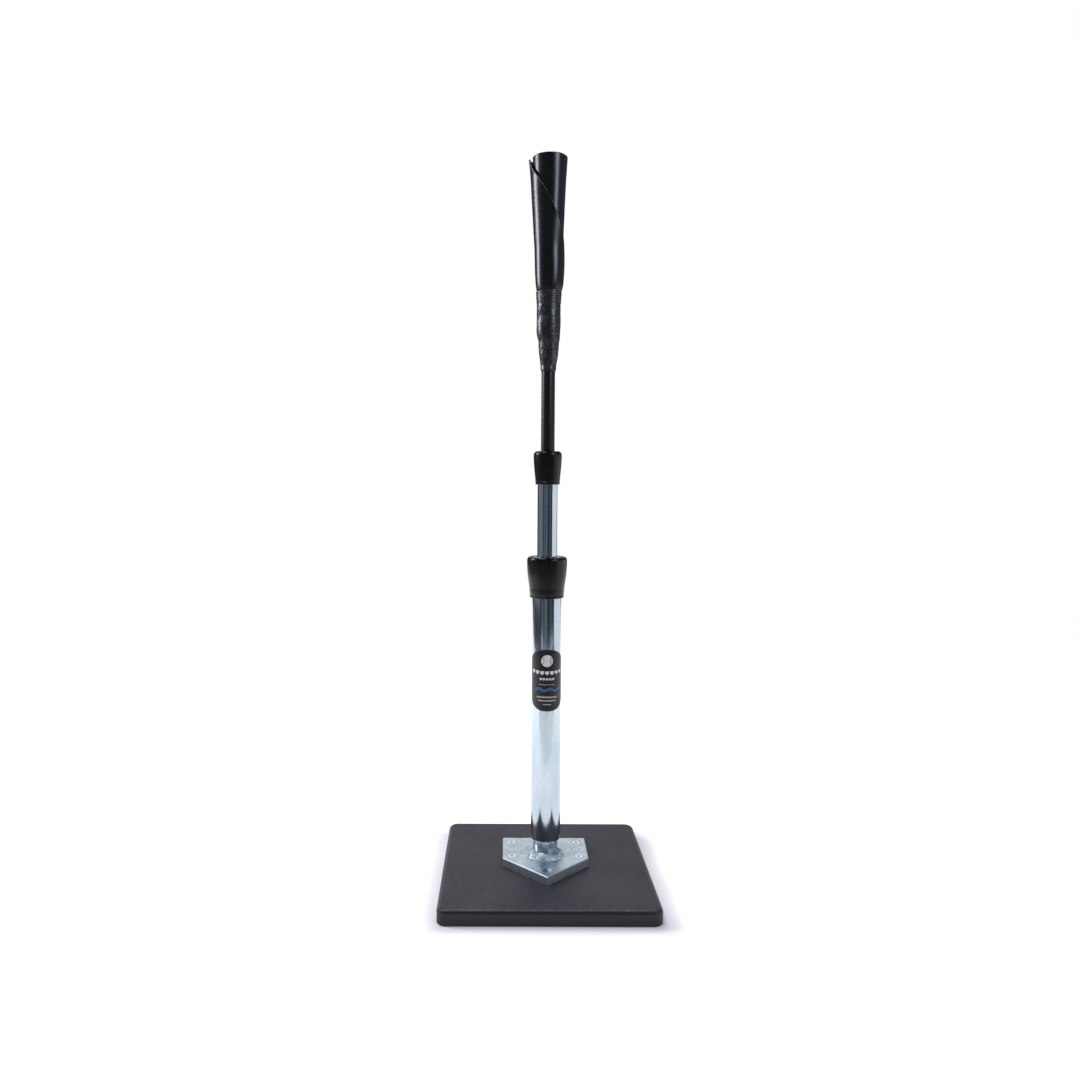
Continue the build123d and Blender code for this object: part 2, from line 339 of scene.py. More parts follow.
stud_sides = 96
rows_per_turn = 12
stud_height = stud_top - boss_top
stud_rows = [[(0, 0, stud_root)] * stud_sides]
stud_rows.append([(stud_r * math.sin(a), -stud_r * math.cos(a), stud_root) for a in round_turns(stud_sides)])
for step in range(int(stud_height / thread_pitch * rows_per_turn) + 1):
    height = boss_top + step * thread_pitch / rows_per_turn
    end_cut = max(0.0, height - (stud_top - 1.2))
    row = []
    for angle in round_turns(stud_sides):
        radius = thread(height, angle) - end_cut
        row.append((radius * math.sin(angle), -radius * math.cos(angle), height))
    stud_rows.append(row)
stud_rows.append([(0, 0, stud_top)] * stud_sides)

heat_zinc = Finish("heat_tinted_zinc", {"Metallic": 1.0})
lathe_rings = heat_zinc.cloud(0.25 * mm, detail=2.0, where=heat_zinc.stretched(0.02, 0.02, 1.0))
weld_heat = heat_zinc.axis("Z").rise((boss_top + 3) * mm, boss_foot * mm)
blueing = weld_heat * heat_zinc.cloud(8 * mm).rise(0.25, 0.6)
heat_zinc.feed("Base Color", heat_zinc.mix(blueing, tone(222, 234, 240), tone(118, 172, 194)))
heat_zinc.feed("Roughness", 0.16 + 0.14 * lathe_rings)
heat_zinc.relief(lathe_rings, 0.02 * mm)

boss = turned("spigot_boss", [
    (0, boss_foot + 0.1, 0),
    (boss_r - 0.2, boss_foot + 0.1, 0),
    (boss_r, boss_foot + 6.0, 0.2),
    (boss_r, boss_top, 0.9),
    (0, boss_top, 0),
])
fit(boss, "base", heat_zinc, "zinc_plate", "stem_spigot")
stud = finished("threaded_stud", skinned(stud_rows, end_to_end=False))
fit(stud, "base", heat_zinc, "zinc_plate", "stem_spigot")


# --- Weld bead -----------------------------------------------------------------------------------
# One run of fillet weld round the boss, laid by hand, so its ripples and its edge are uneven. It
# was welded before plating: the zinc is thinner and darker on it, and a few spatter beads remain.

random.seed(7)
weld_foot_r, weld_foot, weld_top = span("weld_bead")
weld_root = weld_foot - 0.4
ripples = 44
weld_rings = []
weld_steps = 15
for angle in round_turns(ripples * 12):
    around = Vector((math.sin(angle), -math.cos(angle), 0))
    wander = noise.noise(around * 1.7 + Vector((3, 1, 4))) * 1.3 + noise.noise(around * 6) * 0.5
    foot_r = weld_foot_r - 0.6 + wander
    top = weld_top + noise.noise(around * 2.3 + Vector((9, 2, 6))) * 1.2
    ring = [((boss_r - 0.6) * around.x, (boss_r - 0.6) * around.y, weld_root)]
    for step in range(weld_steps):
        t = step / (weld_steps - 1)
        belly = math.sin(math.pi * t)
        lag = 2.2 * (t - 0.5) ** 2
        ripple = (ripples * angle / math.tau + lag + 0.5 * noise.noise(around * 4)) % 1.0
        lumps = 0.45 * noise.noise(around * 19 + Vector((0, 0, 3 * t)))
        rise = belly * (0.55 + 0.6 * (1 - ripple) ** 0.6) + lumps
        radius = foot_r + (boss_r - 0.3 - foot_r) * t + 0.55 * rise * belly
        height = weld_foot + (top - weld_foot) * t + 0.8 * rise * belly
        if step == 0:
            height = weld_root
        ring.append((radius * around.x, radius * around.y, height))
    weld_rings.append(ring)
weld_shape = skinned(weld_rings)
spatter_beads = 16
for bead in range(spatter_beads):
    angle = random.uniform(0, math.tau)
    away = weld_foot_r + random.uniform(0.8, 7.0)
    size = random.uniform(0.35, 0.8)
    made = bmesh.ops.create_icosphere(weld_shape, subdivisions=2, radius=size * mm)["verts"]
    bmesh.ops.scale(weld_shape, verts=made, vec=(1, 1, 0.7))
    landed = Vector((away * math.sin(angle), -away * math.cos(angle), weld_foot)) * mm
    bmesh.ops.translate(weld_shape, verts=made, vec=landed)
weld = finished("weld_bead_run", weld_shape, crease=70)

weld_zinc = Finish("plated_weld", {"Metallic": 1.0})
scale_marks = weld_zinc.cloud(1.2 * mm, detail=5.0)
weld_tint = weld_zinc.cloud(6 * mm, detail=4.0, warp=0.5).rise(0.45, 0.62)
weld_tone = weld_zinc.mix(scale_marks.rise(0.38, 0.60), tone(140, 156, 164), tone(224, 231, 234))
weld_zinc.feed("Base Color", weld_zinc.mix(weld_tint * 0.6, weld_tone, tone(122, 162, 172)))
weld_zinc.feed("Roughness", 0.30 + 0.30 * scale_marks)
weld_zinc.relief(scale_marks, 0.45 * mm)
fit(weld, "base", weld_zinc, "weld_metal", "weld_bead")


# --- Seat washer ---------------------------------------------------------------------------------
# A thin black nylon washer between the boss and the stem's foot, so that they don't bind. The
# guide bushes, the end plugs and the rod's top cap are the same nylon, turned from rod.

nylon = Finish("black_nylon", {"IOR": 1.53, "Base Color": tone(34, 34, 36)})
turning = nylon.cloud(0.3 * mm, where=nylon.stretched(0.03, 0.03, 1.0))
nylon.feed("Roughness", 0.42 + 0.12 * turning)
nylon.relief(turning, 0.02 * mm)
dress(nylon, "seat_washer", "rod_top_cap")
dress(nylon, "middle_guide_bush", "middle_end_plug", "rod_guide_bush", "rod_end_plug")


# --- Lower and middle tubes ----------------------------------------------------------------------
# Drawn steel tube, cut, deburred and zinc plated. It is nearly a mirror, with faint lines along
# its length from the drawing die, a soft haze, and small blue and rosy patches in the plating.

def tube(name, node, wall, cut_ease):
    """A round tube in the place of its CAD node, with eased ends."""
    outer, low, high = span(node)
    return turned(name, [
        (outer, low, cut_ease),
        (outer, high, cut_ease),
        (outer - wall, high, cut_ease),
        (outer - wall, low, cut_ease),
    ], sides=192)


tube_zinc = Finish("drawn_tube_zinc", {"Metallic": 1.0})
die_lines = tube_zinc.cloud(0.8 * mm, detail=3.0, where=tube_zinc.stretched(1.0, 1.0, 0.01))
haze = tube_zinc.cloud(16 * mm, detail=4.0, where=tube_zinc.stretched(1.0, 1.0, 0.35))
freckles = tube_zinc.cloud(1.6 * mm, detail=3.0).rise(0.60, 0.74)
plating = tube_zinc.mix(haze.rise(0.3, 0.7), tone(200, 208, 216), tone(186, 197, 208))
plating = tube_zinc.mix(freckles * 0.25, plating, tone(150, 158, 168))
blue_patches = tube_zinc.cloud(2.4 * mm, detail=5.0, roughness=0.7, warp=0.5).rise(0.45, 0.70)
plating = tube_zinc.mix(blue_patches * 0.45, plating, tone(150, 186, 200))
rosy_streaks = tube_zinc.stretched(1.0, 1.0, 0.2)
rosy_patches = tube_zinc.cloud(3.2 * mm, detail=5.0, where=rosy_streaks).rise(0.56, 0.74)
tube_zinc.feed("Base Color", tube_zinc.mix(rosy_patches * 0.35, plating, tone(188, 178, 186)))
tube_zinc.feed("Roughness", 0.05 + 0.08 * haze + 0.05 * die_lines)
tube_zinc.relief(die_lines * 0.45 + haze * 0.3 + blue_patches * 0.25, 0.02 * mm)

lower_tube = tube("stem_tube", "lower_tube", wall=1.65, cut_ease=0.5)
fit(lower_tube, "stem", tube_zinc, "zinc_tube", "lower_tube")
middle_tube = tube("extension_tube", "middle_tube", wall=1.2, cut_ease=0.4)
fit(middle_tube, "middle_stage", tube_zinc, "zinc_tube", "middle_tube")
dress(tube_zinc, "thread_insert")


# --- Stem label ----------------------------------------------------------------------------------
# A printed vinyl label, die cut with large round corners and wrapped half way round the tube. Its
# print is generic: a ball, two rows of small home plates, a blue wave and thin pale lines.

tube_r = span("lower_tube")[0]
label_low, label_high = span("stem_label")[1:]
label_reach = math.radians(95) * tube_r


def arc(centre, radius, start, end, steps):
    """Points along an arc on the flat label; angles in degrees, 0 to the right."""
    turns = [math.radians(start + (end - start) * i / steps) for i in range(steps + 1)]
    return [(centre[0] + radius * math.cos(a), centre[1] + radius * math.sin(a)) for a in turns]


def pill(centre, length, height):
    """The outline of a bar with round ends."""
    half = (length - height) / 2
    left = arc((-half, 0), height / 2, 90, 270, 8)
    right = arc((half, 0), height / 2, -90, 90, 8)
    top = [(half - 2 * half * i / 16, height / 2) for i in range(1, 16)]
    bottom = [(-half + 2 * half * i / 16, -height / 2) for i in range(1, 16)]
    outline = left + bottom + right + top
    return [(centre[0] + x, centre[1] + y) for x, y in outline]


def printed(name, outlines, lift, thickness):
    """Flat outlines on the label as thin closed films, wrapped round the tube lift above it."""
    shape = bmesh.new()
    for outline in outlines:
        shape.faces.new([shape.verts.new((x, 0, z)) for x, z in outline])
    strip = 1.2
    for cut in range(-int(label_reach / strip), int(label_reach / strip) + 1):
        everything = shape.verts[:] + shape.edges[:] + shape.faces[:]
        bmesh.ops.bisect_plane(shape, geom=everything, plane_co=(cut * strip, 0, 0), plane_no=(1, 0, 0))
    back = bmesh.ops.extrude_face_region(shape, geom=shape.faces[:])["geom"]
    raised = {vertex for vertex in back if isinstance(vertex, bmesh.types.BMVert)}
    for vertex in shape.verts:
        angle = vertex.co.x / tube_r
        radius = tube_r + lift + (thickness if vertex in raised else 0)
        vertex.co = Vector((radius * math.sin(angle), -radius * math.cos(angle), vertex.co.z)) * mm
    return finished(name, shape, crease=50)


corner = 27.0
label_outline = (
    arc((label_reach - corner, label_low + corner), corner, -90, 0, 16)
    + arc((label_reach - corner, label_high - corner), corner, 0, 90, 16)
    + arc((-label_reach + corner, label_high - corner), corner, 90, 180, 16)
    + arc((-label_reach + corner, label_low + corner), corner, 180, 270, 16)
)
vinyl = Finish("printed_vinyl", {"IOR": 1.42})
print_fade = vinyl.cloud(12 * mm, detail=4.0)
vinyl.feed("Base Color", vinyl.mix(print_fade, tone(20, 19, 23), tone(30, 28, 33)))
vinyl.feed("Roughness", 0.20 + 0.06 * vinyl.cloud(2 * mm))
vinyl.relief(vinyl.cloud(0.6 * mm), 0.006 * mm)
label = printed("label_film", [label_outline], lift=0.0, thickness=0.2)
fit(label, "stem", vinyl, "label_film", "stem_label")


def ink(name, colour, faded):
    """Printing ink, worn to its faded colour in places."""
    finish = Finish(name, {"IOR": 1.46})
    wear = finish.cloud(1.0 * mm, detail=4.0).rise(0.45, 0.75)
    finish.feed("Base Color", finish.mix(wear, colour, faded))
    finish.feed("Roughness", 0.32 + 0.15 * wear)
    return finish


def home_plate_mark(centre, width):
    """The five-cornered outline of a home plate, point down."""
    half = width / 2
    corners = [(-half, half), (-half, -0.1 * half), (0, -half), (half, -0.1 * half), (half, half)]
    return [(centre[0] + x, centre[1] + y) for x, y in corners]


ball_at = (0, label_high - 13.0)
ball_r = 7.0
upper_row = label_high - 27.5
lower_row = label_high - 34.6
row_bow = 0.12
white_marks = [arc(ball_at, ball_r, 0, 350, 35)]
white_marks += [home_plate_mark((5.9 * i, upper_row + row_bow * i * i), 4.6) for i in range(-3, 4)]
white_marks += [home_plate_mark((3.7 * i, lower_row), 2.9) for i in range(-2, 3)]
print_white = printed("label_print_white", white_marks, lift=0.2, thickness=0.03)
fit(print_white, "stem", ink("white_ink", tone(222, 220, 222), tone(170, 168, 172)), "label_film")

seam_r = 5.65
seam_half = 0.25
stitch_r = 0.75
seam_marks = []
for side in (-1, 1):
    middle = 90 - side * 90
    centre = (ball_at[0] - side * 9.4, ball_at[1])
    outer = arc(centre, seam_r + seam_half, middle - 52, middle + 52, 14)
    inner = arc(centre, seam_r - seam_half, middle + 52, middle - 52, 14)
    seam_marks.append(outer + inner)
    for stitch in range(-3, 4):
        slope = middle + stitch * 14
        at = math.radians(slope)
        spot = (centre[0] + seam_r * math.cos(at), centre[1] + seam_r * math.sin(at))
        one_end = arc(spot, stitch_r, slope - 12, slope + 12, 3)
        other_end = arc(spot, stitch_r, slope + 168, slope + 192, 3)
        seam_marks.append(one_end + other_end)
print_seams = printed("label_print_seams", seam_marks, lift=0.23, thickness=0.02)
fit(print_seams, "stem", ink("dark_ink", tone(44, 42, 48), tone(60, 58, 64)), "label_film")

wave_height = 1.1
wave_thickness = 3.4
wave_top = [(x, label_high - 45.2 + wave_height * math.sin(x / 2.1)) for x in range(-16, 17)]
wave_foot = [(x, z - wave_thickness) for x, z in reversed(wave_top)]
print_blue = printed("label_print_blue", [wave_top + wave_foot], lift=0.2, thickness=0.03)
fit(print_blue, "stem", ink("blue_ink", tone(36, 96, 134), tone(32, 70, 100)), "label_film")

pale_lines = ((55.5, 26, 1.7), (59.6, 22, 1.4), (64.0, 10, 1.0), (40.8, 19, 0.6))
pale_marks = [pill((0, label_high - down), length, height) for down, length, height in pale_lines]
print_pale = printed("label_print_pale", pale_marks, lift=0.2, thickness=0.03)
fit(print_pale, "stem", ink("pale_ink", tone(176, 174, 170), tone(120, 118, 118)), "label_film")


# --- Collars -------------------------------------------------------------------------------------
# Black nylon collars, injection moulded and pressed over the tube ends. Each has a short straight
# foot, a swelling body and a rounded shoulder. Inside a shallow groove a lip wipes the thinner
# tube. A faint mould line runs down both sides.

moulded = Finish("moulded_collar", {"IOR": 1.36})
flow = moulded.cloud(7 * mm, detail=3.0, warp=0.5)
texture = moulded.cloud(0.45 * mm, detail=2.0)
marring = moulded.cloud(1.5 * mm, detail=4.0, where=moulded.stretched(1.0, 1.0, 0.2)).rise(0.60, 0.80)
moulded.feed("Base Color", moulded.mix(marring * 0.3, tone(10, 8, 9), tone(40, 36, 40)))
moulded.feed("Roughness", 0.22 + 0.08 * flow + 0.12 * marring)
moulded.relief(0.6 * texture + 0.4 * flow, 0.035 * mm)


def collar(name, node, tube_r, next_r, foot_r, shoulder_r, skirt, body):
    """A moulded collar over the end of a tube of radius tube_r, wiping a tube of radius next_r."""
    low, high = span(node)[1:]
    low -= skirt
    tall = high - low
    inside_r = tube_r - 0.1
    wiper_r = next_r + 0.4
    groove = next_r + 0.52 * (shoulder_r - next_r)

    def mould_line(angle, height):
        if not low + 1 < height < high - 3:
            return 0
        away = min(abs(angle - math.tau / 4), abs(angle - 3 * math.tau / 4)) * shoulder_r
        return 0.14 * math.exp(-(away / 0.35) ** 2)

    piece = turned(name, [
        (inside_r, low, 0),
        (foot_r, low, 0.7),
        (foot_r + 0.15, low + 2.6, 0),
        (foot_r - 0.05, low + 2.9, 0),
        (foot_r + 0.05, low + 3.2, 0),
        (foot_r + 0.5, low + 0.22 * tall, 1.8),
        (foot_r + 0.78 * (shoulder_r - foot_r), low + 0.55 * tall, 4.5),
        (shoulder_r, low + 0.82 * tall, 3.0),
        (shoulder_r - 0.1, high, 4.2),
        (groove + 1.0, high, 0.8),
        (groove, high - 1.7, 0.6),
        (groove - 0.9, high - 0.2, 0.5),
        (wiper_r, high - 0.2, 0.4),
        (wiper_r, high - 3.8, 0),
        (inside_r, high - 3.8, 0),
    ], sides=480, swell=mould_line)
    fit(piece, body, moulded, "collar_plastic", node)


rod_r = span("top_rod")[0]
middle_r = span("middle_tube")[0]
collar("stem_collar", "lower_collar", tube_r, middle_r,
       foot_r=20.2, shoulder_r=23.75, skirt=1.2, body="stem")
collar("extension_collar", "upper_collar", middle_r, rod_r,
       foot_r=14.3, shoulder_r=16.75, skirt=0.0, body="middle_stage")


# --- Grip bushes ---------------------------------------------------------------------------------
# Dense rubber sleeves pressed into the tube ends under the collars. Their squeeze on the tube
# inside holds the tee at any height.

grip = Finish("grip_rubber", {"IOR": 1.5})
sulphur_bloom = grip.cloud(4 * mm)
grip.feed("Base Color", grip.mix(sulphur_bloom, tone(30, 30, 32), tone(44, 43, 46)))
grip.feed("Roughness", 0.6 + 0.2 * sulphur_bloom)
dress(grip, "lower_grip_bush", "upper_grip_bush")


# --- Rod -----------------------------------------------------------------------------------------
# A thin steel tube, powder coated satin black. Sliding through its bush has polished faint bright
# lines along it.

coated = Finish("satin_black_coat", {"IOR": 1.42})
peel = coated.cloud(0.9 * mm, detail=2.0)
slide_lines = coated.cloud(0.9 * mm, where=coated.stretched(1.0, 1.0, 0.015)).rise(0.60, 0.74)
coated.feed("Base Color", coated.mix(slide_lines * 0.5, tone(10, 10, 11), tone(46, 46, 49)))
coated.feed("Roughness", 0.30 + 0.10 * peel - 0.08 * slide_lines)
coated.relief(peel, 0.02 * mm)
rod = tube("black_rod", "top_rod", wall=1.2, cut_ease=0.3)
fit(rod, "top_stage", coated, "rod_paint", "top_rod")


# --- Rubber top ----------------------------------------------------------------------------------
# A cut sheet of black rubber, rolled by hand into a cone round the rod's end. Its free edge runs
# slantwise down the front and round the right side, and its top corner stands away on the left.

def along(points, at):
    """The smooth curve through (position, value) points, read at a position."""
    if at <= points[0][0]:
        return points[0][1]
    if at >= points[-1][0]:
        return points[-1][1]
    after = next(i for i, point in enumerate(points) if point[0] > at)
    last = len(points) - 1
    (a, av), (b, bv), (c, cv), (d, dv) = [points[min(last, max(0, after + k))] for k in (-2, -1, 0, 1)]
    t = (at - b) / (c - b)
    start_slope = (cv - av) / (c - a) * (c - b)
    end_slope = (dv - bv) / (d - b) * (c - b)
    return ((2 * t ** 3 - 3 * t ** 2 + 1) * bv + (t ** 3 - 2 * t ** 2 + t) * start_slope
            + (3 * t ** 2 - 2 * t ** 3) * cv + (t ** 3 - t ** 2) * end_slope)


def eased_step(at, start, end):
    """0 at start, 1 at end and a smooth step between them; start may be the larger."""
    t = min(1.0, max(0.0, (at - start) / (end - start)))
    return t * t * (3 - 2 * t)


cone_rim = span("flex_top")[2]
tape_top = span("neck_tape")[2]
roll_foot = 652.0
sheet = 2.2
lap = 2.45
roll_turn = 600
# The roll's inner radius by height, and the angle of its free edge by height, 0 at the front.
inner_roll = [(roll_foot, 11.8), (688, 11.8), (697, 13.8), (705, 14.8), (716, 15.4), (729, 15.8), (745, 16.2),
              (759, 16.8), (780, 17.5), (800, 18.0), (825, 18.9), (cone_rim, 20.2)]
free_edge = [(roll_foot, 190), (697, 130), (729, 95), (745, 75), (757, 57), (768, 40), (784, 22), (795, 8),
             (806, -7), (818, -25), (828, -43), (841, -72), (cone_rim, -92)]


def sheet_point(turn, height, depth):
    """A point on the rolled sheet, turn degrees in from its free edge and depth below its outside."""
    angle = math.radians(along(free_edge, height) - turn)
    squeeze = 0.6 + 0.4 * eased_step(height, 688, 703)
    radius = along(inner_roll, height) + lap * squeeze * (1 - turn / 360)
    loose_flap = 1.4 * eased_step(height, 745, 805) * math.exp(-(turn / 150) ** 2)
    over_tape = eased_step(height, 697, 705) * eased_step(height, 745, 725)
    foot_bulge = 0.5 * over_tape * math.exp(-(turn / 70) ** 2)
    edge_curl = 1.0 * eased_step(height, 735, 765) * math.exp(-turn / 24)
    around = Vector((math.sin(angle), math.cos(angle), height / 50))
    waver = 0.35 * noise.noise(around * 1.2) * eased_step(height, 697, 720)
    radius += loose_flap + foot_bulge + edge_curl + waver - depth * squeeze
    return (radius * math.sin(angle), -radius * math.cos(angle), height)


sheet_rows = 72
roll_rows = []
for turn in range(0, roll_turn + 1, 4):
    angle = math.radians(along(free_edge, cone_rim) - turn)
    cut_wave = 0.4 * noise.noise(Vector((math.sin(angle), math.cos(angle), turn / 200)) * 1.6)
    corner_drop = 1.9 * math.exp(-turn / 50)
    drop = corner_drop - 0.3 + cut_wave
    outside = []
    inside = []
    for i in range(sheet_rows + 1):
        up = i / sheet_rows
        height = roll_foot + (cone_rim - roll_foot) * up - drop * up ** 4
        outside.append(sheet_point(turn, height, 0))
        inside.append(sheet_point(turn, height, sheet))
    roll_rows.append(outside + inside[::-1])
roll_shape = skinned(roll_rows, end_to_end=False)
ring_size = len(roll_rows[0])
roll_shape.verts.ensure_lookup_table()
for first in (0, (len(roll_rows) - 1) * ring_size):
    for i in range(sheet_rows):
        across = ring_size - 1 - i
        roll_shape.faces.new([roll_shape.verts[first + k] for k in (i, i + 1, across - 1, across)])
roll = finished("rubber_roll", roll_shape, crease=50)

# Faces that look neither out nor in are cut edges: they take the second material.
for face in roll.data.polygons:
    outward = Vector((face.center.x, face.center.y, 0)).normalized()
    face.material_index = int(abs(face.normal.dot(outward)) < 0.5)
cut_edges = roll.modifiers.new("cut_edges", "BEVEL")
cut_edges.width = 0.45 * mm
cut_edges.segments = 3
cut_edges.limit_method = "ANGLE"
cut_edges.angle_limit = math.radians(50)

rubber = Finish("rolled_rubber", {"IOR": 1.52})
chalk = rubber.cloud(22 * mm, detail=4.0, warp=0.6)
calender = rubber.cloud(0.8 * mm, detail=3.0, where=rubber.stretched(1.0, 1.0, 0.25))
rubs = rubber.cloud(4 * mm, detail=5.0, warp=0.4).rise(0.62, 0.8)
rubber_tone = rubber.mix(chalk, tone(3, 3, 6), tone(9, 9, 16))
rubber.feed("Base Color", rubber.mix(rubs * 0.25, rubber_tone, tone(36, 36, 50)))
rubber.feed("Roughness", 0.25 + 0.06 * chalk + 0.02 * calender)
rubber.relief(0.2 * calender + 0.8 * chalk, 0.005 * mm)
fit(roll, "top_stage", rubber, "cone_rubber", "flex_top")
# The cut edges are painted pale grey, far paler than the rubber: a painted highlight for the light line along
# the sheet's cut edge.
cut_edge_highlight = Finish("cut_rubber_painted_highlight", {"IOR": 1.5})
knife_marks = cut_edge_highlight.cloud(1.2 * mm, detail=4.0)
cut_edge_highlight.feed("Base Color", cut_edge_highlight.mix(knife_marks, tone(112, 104, 106), tone(164, 156, 154)))
cut_edge_highlight.feed("Roughness", 0.5 + 0.2 * knife_marks)
cut_edge_highlight.relief(knife_marks, 0.05 * mm)
roll.data.materials.append(cut_edge_highlight.material)

# A turned rubber plug fills the roll's foot above the cap on the rod.
plug_foot = span("rod_top_cap")[2] + 0.1
plug_top = 699.5
plug = turned("roll_plug", [
    (0, plug_foot, 0),
    (9.3, plug_foot, 0.6),
    (9.7, plug_top, 0.8),
    (0, plug_top, 0),
])
fit(plug, "top_stage", rubber, "cone_rubber", "flex_top")


# --- Neck tape -----------------------------------------------------------------------------------
# Black vinyl tape, wound tightly round the roll's foot and down onto the rod. Its turns overlap in
# low ridges. A thick band is wound at the top, and below the roll it pulls in with slanting creases.

tape_foot = span("neck_tape")[1] - 3.0
# The winding's radius by height, on its left and on its right.
tape_left = [(tape_foot, 9.35), (608, 9.35), (613, 9.7), (619, 10.5), (628, 11.3), (636, 11.7), (640, 12.6),
             (645, 14.0), (652, 14.25), (678, 14.15), (685, 14.4), (tape_top, 15.0)]
tape_right = [(tape_foot, 9.35), (608, 9.4), (613, 10.0), (620, 11.0), (632, 12.1), (645, 13.6), (655, 14.2),
              (678, 14.15), (685, 14.4), (tape_top, 15.0)]
tape_width = 9.5
band_pitch = 3.0


def tape_point(angle, height):
    """A point on the outside of the winding."""
    around = Vector((math.sin(angle), -math.cos(angle), 0))
    rightward = eased_step(around.x, -0.9, 0.3)
    radius = along(tape_left, height) * (1 - rightward) + along(tape_right, height) * rightward
    overlap = ((height + tape_width * angle / math.tau) / tape_width) % 1.0
    overlap_step = 0.16 * (1 - overlap) * eased_step(height, 612, 618)
    ridge = ((height + 0.5 * band_pitch * angle / math.tau) / band_pitch) % 1.0
    band_ridge = 0.28 * (1 - abs(2 * ridge - 1) ** 2.5) * eased_step(height, 680.5, 682)
    crease_zone = eased_step(height, 606, 612) * eased_step(height, 648, 640)
    slant = Vector((3.2 * angle - height / 5.5, height / 22, 0.0))
    side_share = 0.35 + 0.65 * abs(around.x + 0.25)
    crease = 0.8 * crease_zone * (0.5 - abs(noise.noise(slant))) * side_share
    waver = 0.22 * noise.noise(around * 2.4 + Vector((0, 0, height / 9)))
    fold_angle = 5.35 + (height - 668) / 34
    fold_zone = eased_step(height, 652, 662) * eased_step(height, 681, 675)
    fold = 0.55 * math.exp(-((angle - fold_angle) / 0.10) ** 2) * fold_zone
    radius += overlap_step + band_ridge + crease + waver + fold
    return (radius * around.x, radius * around.y, height)


tape_sides = 216
tape_rows = []
tape_steps = int((tape_top - tape_foot) / 0.4)
for step in range(tape_steps + 1):
    height = tape_foot + (tape_top - tape_foot) * step / tape_steps
    tape_rows.append([tape_point(angle, height) for angle in round_turns(tape_sides)])
tape_inside = [(tape_top, 13.4), (648, 13.4), (641, 11.3), (632, 10.6), (617, 9.0), (tape_foot, 8.2)]
for height, radius in tape_inside:
    tape_rows.append([(radius * math.sin(a), -radius * math.cos(a), height) for a in round_turns(tape_sides)])
tape = finished("vinyl_tape", skinned(tape_rows), crease=40)

vinyl_tape = Finish("black_vinyl_tape", {"IOR": 1.62})
stretch_lines = vinyl_tape.cloud(0.7 * mm, detail=3.0, where=vinyl_tape.stretched(0.25, 0.25, 1.0))
bloom_and_sheen_patches = vinyl_tape.cloud(9 * mm, detail=4.0, warp=0.7).rise(0.5, 0.72)
# Paler patches: partly bloom on the vinyl, partly painted sheen for the tape's highlights.
vinyl_tape.feed("Base Color", vinyl_tape.mix(bloom_and_sheen_patches * 0.6, tone(20, 18, 23), tone(66, 62, 72)))
vinyl_tape.feed("Roughness", 0.30 + 0.12 * bloom_and_sheen_patches + 0.06 * stretch_lines)
vinyl_tape.relief(stretch_lines, 0.02 * mm)
fit(tape, "top_stage", vinyl_tape, "neck_tape", "neck_tape")


# --- Tape hem ------------------------------------------------------------------------------------
# The last turn of the tape, wound on the bare rod. It is a little apart from the rest, so that a
# dark line shows between them.

hem_r, hem_low, hem_high = span("neck_hem")


def hem_waver(angle, height):
    """How far the hem's surface stands out or in, in millimetres."""
    return 0.10 * noise.noise(Vector((math.sin(angle) * 2, math.cos(angle) * 2, height / 4)))


hem_inside = 8.15
hem = turned("tape_hem", [
    (hem_inside, hem_low, 0),
    (hem_r - 0.6, hem_low, 0.2),
    (hem_r - 0.5, hem_high - 2.7, 0.2),
    (hem_inside, hem_high - 2.6, 0),
], swell=hem_waver)
fit(hem, "top_stage", vinyl_tape, "neck_tape", "neck_hem")


# --- Studio --------------------------------------------------------------------------------------
# The tee stands on a pale floor in a dark studio, lit by softboxes from both sides, behind and
# above. The backdrop is plain white. Unseen cards give the plated tubes something to reflect.

def board(name, width, height, place, aim, paint, mirrored_only=True):
    """A flat board facing the point aim, or lying face up. The cards are only for the reflections."""
    made = bmesh.new()
    corners = ((-0.5, -0.5), (0.5, -0.5), (0.5, 0.5), (-0.5, 0.5))
    made.faces.new([made.verts.new((x * width, y * height, 0)) for x, y in corners])
    mesh = bpy.data.meshes.new(name)
    made.to_mesh(mesh)
    made.free()
    mesh.materials.append(paint.material)
    card = bpy.data.objects.new(name, mesh)
    card.location = place
    if aim:
        card.rotation_euler = (Vector(aim) - Vector(place)).to_track_quat("Z", "Y").to_euler()
    card.visible_camera = not mirrored_only
    card.visible_diffuse = not mirrored_only
    card.visible_shadow = not mirrored_only
    bpy.context.scene.collection.objects.link(card)


def glowing(name, colour, body=(0.02, 0.02, 0.02, 1)):
    """A matt finish that gives off light of its own."""
    return Finish(name, {"Base Color": body, "Roughness": 1.0, "Emission Color": colour,
                         "Emission Strength": 1.0, "Specular IOR Level": 0.0})


def softbox(name, width, height, place, aim, watts, colour):
    """A lamp with a flat rectangular face turned to the point aim, itself out of sight."""
    lamp = bpy.data.lights.new(name, "AREA")
    lamp.shape = "RECTANGLE"
    lamp.size = width
    lamp.size_y = height
    lamp.energy = watts
    lamp.color = colour
    box = bpy.data.objects.new(name, lamp)
    box.location = place
    box.rotation_euler = (Vector(aim) - Vector(place)).to_track_quat("-Z", "Y").to_euler()
    bpy.context.scene.collection.objects.link(box)
    box.visible_camera = False


